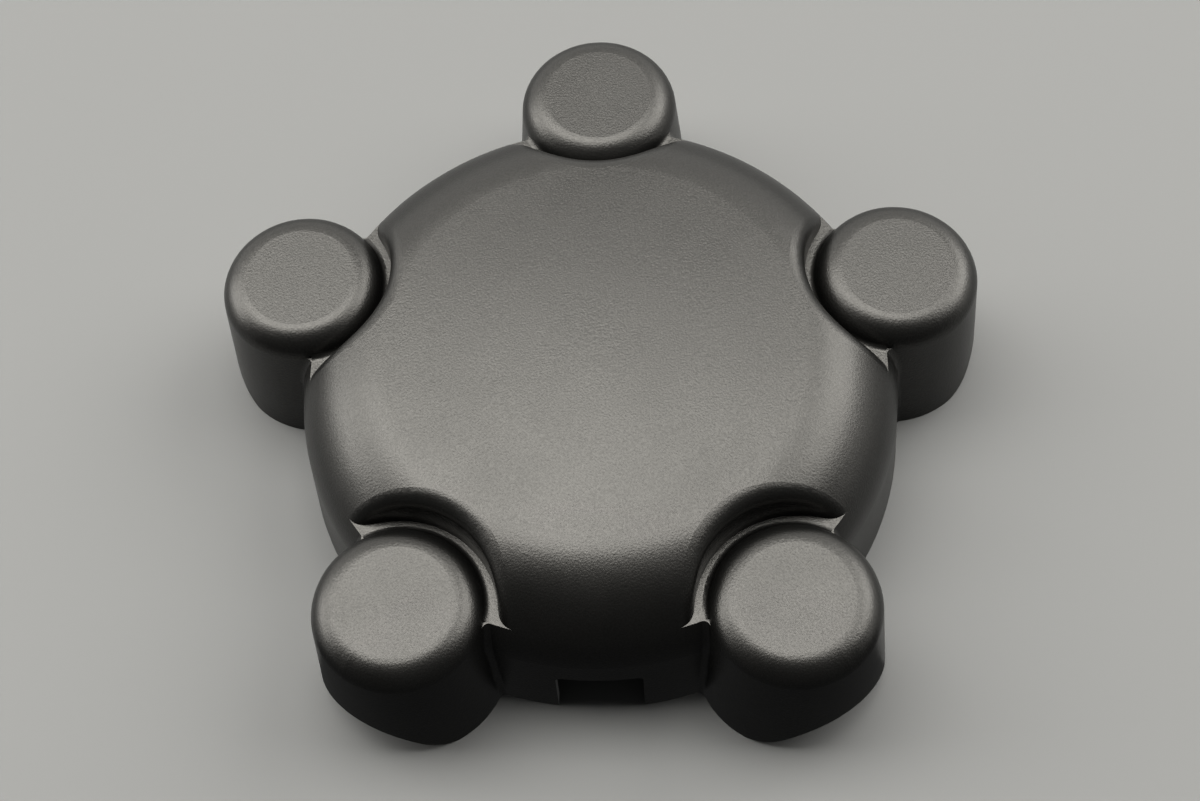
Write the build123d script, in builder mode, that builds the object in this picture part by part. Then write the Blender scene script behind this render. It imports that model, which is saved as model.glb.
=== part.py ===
import os
from math import asin, cos, radians, sin, tan

from build123d import *

# Wheel fitting
bolt_circle = 120.0  # pitch circle of the wheel nuts
nut_count = 5
first_tower_angle = 90.0
nut_bore = 26.0  # clear bore round a nut of 25.4 across its corners
bore_chamfer = 2.0  # at the bore's roof, under the tower's round edge

# Crown
crown_height = 36.1
crown_draft = 3.75  # degrees from upright
shoulder_round = 18.5
shoulder_circle = 38.4  # radius of the circle that the shoulder's round is turned about
dome_slope = 3.5  # degrees from level, where the dome runs into the shoulder

# Nut towers, and the scallops that leave a ledge round them
tower_top_radius = 15.1  # where wall and top would meet without the round
tower_height = 30.3
tower_draft = 5.0
tower_foot = 1.2  # hollow round where a tower's head stands on its ledge
ledge_depth = 4.6  # tower top down to the ledge
ledge_width = 1.8  # at the narrowest, on the line to the cap's axis
ledge_half_angle = 62.0  # each way from that line
scallop_shift = 1.5  # the scallop's axis lies this far outside the nut circle
scallop_draft = 3.0
scallop_edge = 3.4
web_radius = 1.2

# Rim
rim_lift_start = 9.0  # distance outside the nut circle where the rim starts to curve up off the wheel
rim_slope_start = 13.6  # distance outside the nut circle where the curve becomes a straight slope
rim_slope_height = 3.5
rim_slope_angle = 62.0
notch_width = 16.0
notch_height = 12.4
notch_corner = 1.2

# Moulded underside
wall = 2.4
sleeve_wall = 2.2
sleeve_end = 14.0  # height where the plain mouth of a nut pocket ends and its gripping sleeve starts
grip_count = 6
grip_width = 1.4
grip_height = 0.4
grip_lead = 2.5  # plain bore before the grip ribs
rib_width = 1.8
rib_depth = 5.0
hub_ring_radius = 15.0

# Worked out from the sizes above
pitch_radius = bolt_circle / 2
bore_radius = nut_bore / 2
above_crown = crown_height + shoulder_round
dome_radius = shoulder_round + shoulder_circle / sin(radians(dome_slope))
dome_centre = crown_height - dome_radius
shoulder_height = dome_centre + shoulder_circle / tan(radians(dome_slope))
crown_base_radius = (
    shoulder_circle + shoulder_round / cos(radians(crown_draft)) + shoulder_height * tan(radians(crown_draft))
)
ledge_height = tower_height - ledge_depth
tower_base_radius = tower_top_radius + tower_height * tan(radians(tower_draft))
tower_ledge_radius = tower_top_radius + ledge_depth * tan(radians(tower_draft))
tower_edge = ledge_depth / (1 - sin(radians(tower_draft)))
tower_edge_centre = tower_height - tower_edge
tower_flat_radius = tower_ledge_radius - tower_edge * cos(radians(tower_draft))
foot_angle = asin((ledge_height + tower_foot - tower_edge_centre) / (tower_edge + tower_foot))
foot_top_radius = tower_flat_radius + tower_edge * cos(foot_angle)
foot_top_height = tower_edge_centre + tower_edge * sin(foot_angle)
foot_radius = tower_flat_radius + (tower_edge + tower_foot) * cos(foot_angle)
scallop_radius = tower_ledge_radius + ledge_width + scallop_shift
sleeve_radius = bore_radius + sleeve_wall
rim_lift_radius = pitch_radius + rim_lift_start
rim_slope_radius = pitch_radius + rim_slope_start
rim_top_radius = rim_slope_radius + (tower_height - rim_slope_height) / tan(radians(rim_slope_angle))
outside_radius = pitch_radius + 2 * tower_base_radius
notch_reach = 2 * wall  # each way from the crown wall's inner side
inner_angles = (crown_draft, 45, 90 - dome_slope)  # where the slopes under the shoulder meet


def tower_places():
    return PolarLocations(pitch_radius, nut_count, start_angle=first_tower_angle)


def scallop_places():
    return PolarLocations(pitch_radius + scallop_shift, nut_count, start_angle=first_tower_angle)


def shoulder_point(inset, angle):
    """Point on the shoulder's round, moved in by a wall, at an angle above level."""
    reach = shoulder_round - inset
    return (shoulder_circle + reach * cos(radians(angle)), shoulder_height + reach * sin(radians(angle)))


def cone_form(low_radius, draft, low, high):
    """Upright cone between two heights, wider upwards for a positive draft."""
    high_radius = low_radius + (high - low) * tan(radians(draft))
    with BuildPart() as form:
        with BuildSketch(Plane.XZ):
            with BuildLine():
                Polyline((0, low), (low_radius, low), (high_radius, high), (0, high), close=True)
            make_face()
        revolve(axis=Axis.Z)
    return form.part


# Crown: a drafted side, a rounded shoulder and a shallow dome, turned
with BuildPart() as crown:
    with BuildSketch(Plane.XZ):
        with BuildLine():
            foot = Line((0, 0), (crown_base_radius, 0))
            side = Line(foot @ 1, shoulder_point(0, crown_draft))
            shoulder = TangentArc(side @ 1, shoulder_point(0, 90 - dome_slope), tangent=side % 1)
            top = TangentArc(shoulder @ 1, (0, crown_height), tangent=shoulder % 1)
            Line(top @ 1, foot @ 0)
        make_face()
    revolve(axis=Axis.Z)

# Tower walls and a crown without its dome, up to the ledges, with webs in the corners between them
with BuildPart() as lower_form:
    with BuildSketch(Plane.XZ):
        with BuildLine():
            foot = Line((0, 0), (crown_base_radius, 0))
            side = Line(foot @ 1, shoulder_point(0, crown_draft))
            shoulder = TangentArc(side @ 1, shoulder_point(0, 90), tangent=side % 1)
            Polyline(shoulder @ 1, (0, (shoulder @ 1).Y), foot @ 0)
        make_face()
    revolve(axis=Axis.Z)
    with tower_places():
        add(cone_form(tower_base_radius, -tower_draft, 0, above_crown))
    corners = lower_form.edges(Select.NEW).filter_by(lambda edge: edge.bounding_box().max.Z > wall)
    fillet(corners, radius=web_radius)
    split(bisect_by=Plane.XY.offset(ledge_height), keep=Keep.BOTTOM)

# Crown above the ledges, scalloped round each tower
with BuildPart() as upper_form:
    add(crown)
    scallop_low_radius = scallop_radius - ledge_height * tan(radians(scallop_draft))
    with scallop_places():
        add(cone_form(scallop_low_radius, scallop_draft, 0, above_crown), mode=Mode.SUBTRACT)
    lips = upper_form.edges(Select.NEW).filter_by(lambda edge: edge.bounding_box().max.Z > wall)
    fillet(lips, radius=scallop_edge)
    split(bisect_by=Plane.XY.offset(ledge_height), keep=Keep.TOP)

# Rounded head of one tower
with BuildPart() as tower_head:
    with BuildSketch(Plane.XZ):
        with BuildLine():
            flat = Line((0, tower_height), (tower_flat_radius, tower_height))
            edge_round = TangentArc(flat @ 1, (tower_ledge_radius, ledge_height), tangent=flat % 1)
            Polyline(edge_round @ 1, (0, ledge_height), flat @ 0)
        make_face()
    revolve(axis=Axis.Z)

# The stretch of that head that stands on the ledge, with the hollow round at its foot
with BuildPart() as ledge_head:
    with BuildSketch(Plane.XZ):
        with BuildLine():
            flat = Line((0, tower_height), (tower_flat_radius, tower_height))
            edge_round = TangentArc(flat @ 1, (foot_top_radius, foot_top_height), tangent=flat % 1)
            foot_round = TangentArc(edge_round @ 1, (foot_radius, ledge_height), tangent=edge_round % 1)
            Polyline(foot_round @ 1, (0, ledge_height), flat @ 0)
        make_face()
    revolve(axis=Axis.Z, revolution_arc=2 * ledge_half_angle)

# Space under the crown: it stays a wall away from the ledges and scallops, and clear of sleeves and ribs
with BuildPart() as crown_space:
    with BuildSketch(Plane.XZ):
        with BuildLine():
            inner_foot = crown_base_radius - wall / cos(radians(crown_draft))
            slopes = Polyline((inner_foot, 0), *[shoulder_point(wall, a) for a in inner_angles])
            Polyline(slopes @ 1, (0, (slopes @ 1).Y), (0, 0), slopes @ 0)
        make_face()
    revolve(axis=Axis.Z)
    with scallop_places():
        add(
            cone_form(scallop_radius + wall, scallop_draft, ledge_height - wall, above_crown),
            mode=Mode.SUBTRACT,
        )
    with tower_places():
        with Locations((0, 0, sleeve_end)):
            Cylinder(
                sleeve_radius,
                ledge_height - sleeve_end,
                align=(Align.CENTER, Align.CENTER, Align.MIN),
                mode=Mode.SUBTRACT,
            )
    with BuildSketch(Plane.XY.offset((slopes @ 1).Y - rib_depth)):
        Circle(hub_ring_radius + rib_width / 2)
        Circle(hub_ring_radius - rib_width / 2, mode=Mode.SUBTRACT)
        with PolarLocations((hub_ring_radius + pitch_radius) / 2, nut_count, start_angle=first_tower_angle):
            Rectangle(pitch_radius - hub_ring_radius, rib_width)
    extrude(amount=rib_depth, mode=Mode.SUBTRACT)

# Space for one nut: a drafted mouth, then a round bore with grip ribs
with BuildPart() as nut_space:
    add(cone_form(tower_base_radius - wall, -tower_draft, 0, sleeve_end))
    Cylinder(bore_radius, tower_height - wall, align=(Align.CENTER, Align.CENTER, Align.MIN))
    chamfer(nut_space.edges().group_by(Axis.Z)[-1], length=bore_chamfer)
    with BuildSketch(Plane.XY.offset(sleeve_end + grip_lead)):
        with PolarLocations(bore_radius, grip_count):
            Rectangle(2 * grip_height, grip_width)
    extrude(amount=tower_height, mode=Mode.SUBTRACT)

with BuildPart() as centre_cap:
    add(lower_form)
    add(upper_form)
    with tower_places():
        add(tower_head)
        add(ledge_head, rotation=(0, 0, 180 - ledge_half_angle))
    add(crown_space, mode=Mode.SUBTRACT)
    with tower_places():
        add(nut_space, mode=Mode.SUBTRACT)
    # Rim that curves up off the wheel outside the nuts
    with BuildSketch(Plane.XZ):
        with BuildLine():
            slope = Line((rim_slope_radius, rim_slope_height), (rim_top_radius, tower_height))
            lift = TangentArc(slope @ 0, (rim_lift_radius, 0), tangent=(slope % 0) * -1)
            Polyline(
                lift @ 1,
                (rim_lift_radius, -rim_slope_height),
                (outside_radius, -rim_slope_height),
                (outside_radius, tower_height),
                slope @ 1,
            )
        make_face()
    revolve(axis=Axis.Z, mode=Mode.SUBTRACT)
    # Notch for a lever in the rim between two towers
    with BuildSketch(Plane.XZ.offset(crown_base_radius - wall)) as notch:
        Rectangle(notch_width, 2 * notch_height)
        fillet(notch.vertices(), radius=notch_corner)
    extrude(amount=notch_reach, both=True, mode=Mode.SUBTRACT)

centre_cap.part.label = "centre_cap"
os.makedirs("parts", exist_ok=True)
export_step(centre_cap.part, "parts/centre_cap.step")
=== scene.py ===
from math import cos, hypot, pi, radians, sin

import bmesh
import bpy
from mathutils import Matrix, Quaternion, Vector

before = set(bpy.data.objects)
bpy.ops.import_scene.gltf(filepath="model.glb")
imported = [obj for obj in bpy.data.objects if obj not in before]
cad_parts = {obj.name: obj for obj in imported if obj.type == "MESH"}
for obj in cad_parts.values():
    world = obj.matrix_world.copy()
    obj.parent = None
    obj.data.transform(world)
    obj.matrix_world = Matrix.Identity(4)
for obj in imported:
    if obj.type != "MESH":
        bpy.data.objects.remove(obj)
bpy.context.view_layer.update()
scene = bpy.context.scene
print("stage: frame loaded,", len(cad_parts), "node")


def addNode(tree, kind, place, **values):
    node = tree.nodes.new(kind)
    node.location = place
    for name, value in values.items():
        setattr(node, name, value)
    return node


def addNoise(tree, place, coords, scale, detail):
    noise = addNode(tree, "ShaderNodeTexNoise", place)
    noise.inputs["Scale"].default_value = scale
    noise.inputs["Detail"].default_value = detail
    tree.links.new(coords.outputs["Object"], noise.inputs["Vector"])
    return noise.outputs["Fac"]


def addRange(tree, place, value, before, after):
    spread = addNode(tree, "ShaderNodeMapRange", place)
    spread.inputs["From Min"].default_value = before[0]
    spread.inputs["From Max"].default_value = before[1]
    spread.inputs["To Min"].default_value = after[0]
    spread.inputs["To Max"].default_value = after[1]
    tree.links.new(value, spread.inputs["Value"])
    return spread.outputs["Result"]


# moulded plastic

shellLook = {
    "darkColour": (0.0018, 0.0018, 0.0017, 1.0),
    "paleColour": (0.0027, 0.0027, 0.0026, 1.0),
    "roughness": (0.335, 0.385),
    "gloss": (0.5, 0.28),  # face on, then at a slant
    "glossFacing": (0.25, 0.55),
    "glossTint": (1.0, 0.975, 0.935, 1.0),
    "noiseRange": (0.3, 0.7),
    "patchScale": 70.0,
    "patchDetail": 3.0,
    "grainScale": 2700.0,
    "grainDetail": 2.0,
    "grainHeight": 0.000048,
    "pitGloss": (0.84, 1.16),  # in a pit of the grain, then on top of it
}


def mouldedPlastic(look):
    material = bpy.data.materials.new("mouldedPlastic")
    material.use_nodes = True
    tree = material.node_tree
    tree.nodes.clear()
    out = addNode(tree, "ShaderNodeOutputMaterial", (600, 0))
    shader = addNode(tree, "ShaderNodeBsdfPrincipled", (300, 0))
    shader.inputs["Specular Tint"].default_value = look["glossTint"]
    coords = addNode(tree, "ShaderNodeTexCoord", (-900, 0))

    # broad patches where the melt cooled unevenly
    patches = addNoise(tree, (-600, 100), coords, look["patchScale"], look["patchDetail"])
    tint = addNode(tree, "ShaderNodeMix", (0, 400), data_type="RGBA")
    tint.inputs[6].default_value = look["darkColour"]  # sockets 6 and 7 are the colours A and B
    tint.inputs[7].default_value = look["paleColour"]
    sheen = addRange(tree, (0, 150), patches, look["noiseRange"], look["roughness"])
    tree.links.new(patches, tint.inputs["Factor"])
    tree.links.new(tint.outputs[2], shader.inputs["Base Color"])
    tree.links.new(sheen, shader.inputs["Roughness"])

    # fine grain of the mould
    grain = addNoise(tree, (-300, -350), coords, look["grainScale"], look["grainDetail"])
    bump = addNode(tree, "ShaderNodeBump", (0, -350))
    bump.inputs["Distance"].default_value = look["grainHeight"]
    tree.links.new(grain, bump.inputs["Height"])
    tree.links.new(bump.outputs["Normal"], shader.inputs["Normal"])

    # the grain takes some of the shine in its pits, and where it is seen at a slant
    facing = addNode(tree, "ShaderNodeLayerWeight", (-300, -100))
    gloss = addRange(tree, (0, -100), facing.outputs["Facing"], look["glossFacing"], look["gloss"])
    pits = addRange(tree, (0, -600), grain, look["noiseRange"], look["pitGloss"])
    share = addNode(tree, "ShaderNodeMath", (150, -250), operation="MULTIPLY")
    tree.links.new(gloss, share.inputs[0])
    tree.links.new(pits, share.inputs[1])
    tree.links.new(share.outputs["Value"], shader.inputs["Specular IOR Level"])
    tree.links.new(shader.outputs["BSDF"], out.inputs["Surface"])
    return material


shellFinish = mouldedPlastic(shellLook)
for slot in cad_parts["centre_cap"].material_slots:
    slot.material = shellFinish
print("stage: shell finish done")


# floor

floorLook = {
    "half": 2.0,
    "mirrorEdge": -0.05,  # in front of this the floor isn't mirrored in the cap's dark walls
    "colour": (0.116, 0.1172, 0.1164, 1.0),
    "roughness": 0.7,
}


def floorFinish(look):
    material = bpy.data.materials.new("paleFloor")
    material.use_nodes = True
    shader = material.node_tree.nodes["Principled BSDF"]
    shader.inputs["Base Color"].default_value = look["colour"]
    shader.inputs["Roughness"].default_value = look["roughness"]
    return material


def floorPiece(name, front, back, finish):
    mesh = bpy.data.meshes.new(name)
    form = bmesh.new()
    middle, reach = (front + back) / 2, (back - front) / 2
    place = Matrix.Translation((0, middle, 0)) @ Matrix.Diagonal((floorLook["half"], reach, 1, 1))
    bmesh.ops.create_grid(form, x_segments=1, y_segments=1, size=1.0, matrix=place)
    form.to_mesh(mesh)
    form.free()
    mesh.materials.append(finish)
    piece = bpy.data.objects.new(name, mesh)
    scene.collection.objects.link(piece)
    return piece


floorPaint = floorFinish(floorLook)
floorPiece("floorBack", floorLook["mirrorEdge"], floorLook["half"], floorPaint)
floorFront = floorPiece("floorFront", -floorLook["half"], floorLook["mirrorEdge"], floorPaint)
floorFront.visible_glossy = False
print("stage: floor done")


# lights: lean is degrees from overhead, to the right and to the back

lights = {
    "overhead": {"lean": (-8.0, 16.2), "distance": 4.0, "size": (3.56, 2.1), "glow": 10.8},
    "left": {"lean": (-54.0, 16.8), "distance": 4.0, "size": (3.3, 2.3), "glow": 7.2},
    "right": {"lean": (43.5, 20.5), "distance": 4.0, "size": (2.9, 3.2), "glow": 7.9},
    "back": {"lean": (0.0, 72.0), "distance": 4.8, "size": (10.0, 4.4), "glow": 1.75},
    "wallLeft": {"lean": (-84.0, 30.0), "distance": 5.2, "size": (3.2, 6.2), "glow": 1.8},
    "wallRight": {"lean": (84.0, 30.0), "distance": 5.2, "size": (3.2, 6.2), "glow": 1.3},
}
studioLook = {"lightTint": (1.0, 0.988, 0.945), "roomColour": (0.8, 0.81, 0.8, 1), "roomGlow": 0.08}


def softbox(name, look):
    right, back = look["lean"]
    angle = hypot(right, back)
    reach = sin(radians(angle)) / angle
    away = Vector((right * reach, back * reach, cos(radians(angle))))
    data = bpy.data.lights.new(name, "AREA")
    data.shape = "RECTANGLE"
    data.size, data.size_y = look["size"]
    data.energy = look["glow"] * pi * data.size * data.size_y
    data.color = studioLook["lightTint"]
    lamp = bpy.data.objects.new(name, data)
    lamp.location = away * look["distance"]
    lamp.rotation_mode = "QUATERNION"
    lamp.rotation_quaternion = Vector((0, 0, 1)).rotation_difference(away)
    scene.collection.objects.link(lamp)


def dimRoom(look):
    world = bpy.data.worlds.new("studio")
    world.use_nodes = True
    room = world.node_tree.nodes["Background"]
    room.inputs["Color"].default_value = look["roomColour"]
    room.inputs["Strength"].default_value = look["roomGlow"]
    scene.world = world


for name, look in lights.items():
    softbox(name, look)
dimRoom(studioLook)
scene.view_settings.view_transform = "Standard"
print("stage: lights done")


# camera, at the photograph's angle

cameraLook = {
    "target": (0.00053, -0.00706, 0.026),
    "distance": 0.37187,
    "azimuth": 5.06,
    "elevation": 62.17,
    "roll": -5.41,
    "lens": 59.81,
    "sensor": 36.0,
}


def photoCamera(look):
    turn, lift = radians(look["azimuth"]), radians(look["elevation"])
    away = Vector((sin(turn) * cos(lift), -cos(turn) * cos(lift), sin(lift)))
    data = bpy.data.cameras.new("photoCamera")
    data.lens = look["lens"]
    data.sensor_width = look["sensor"]
    camera = bpy.data.objects.new("photoCamera", data)
    camera.location = Vector(look["target"]) + away * look["distance"]
    camera.rotation_mode = "QUATERNION"
    level = (-away).to_track_quat("-Z", "Y")
    camera.rotation_quaternion = level @ Quaternion((0, 0, 1), radians(look["roll"]))
    scene.collection.objects.link(camera)
    scene.camera = camera


photoCamera(cameraLook)
print("stage: camera done")
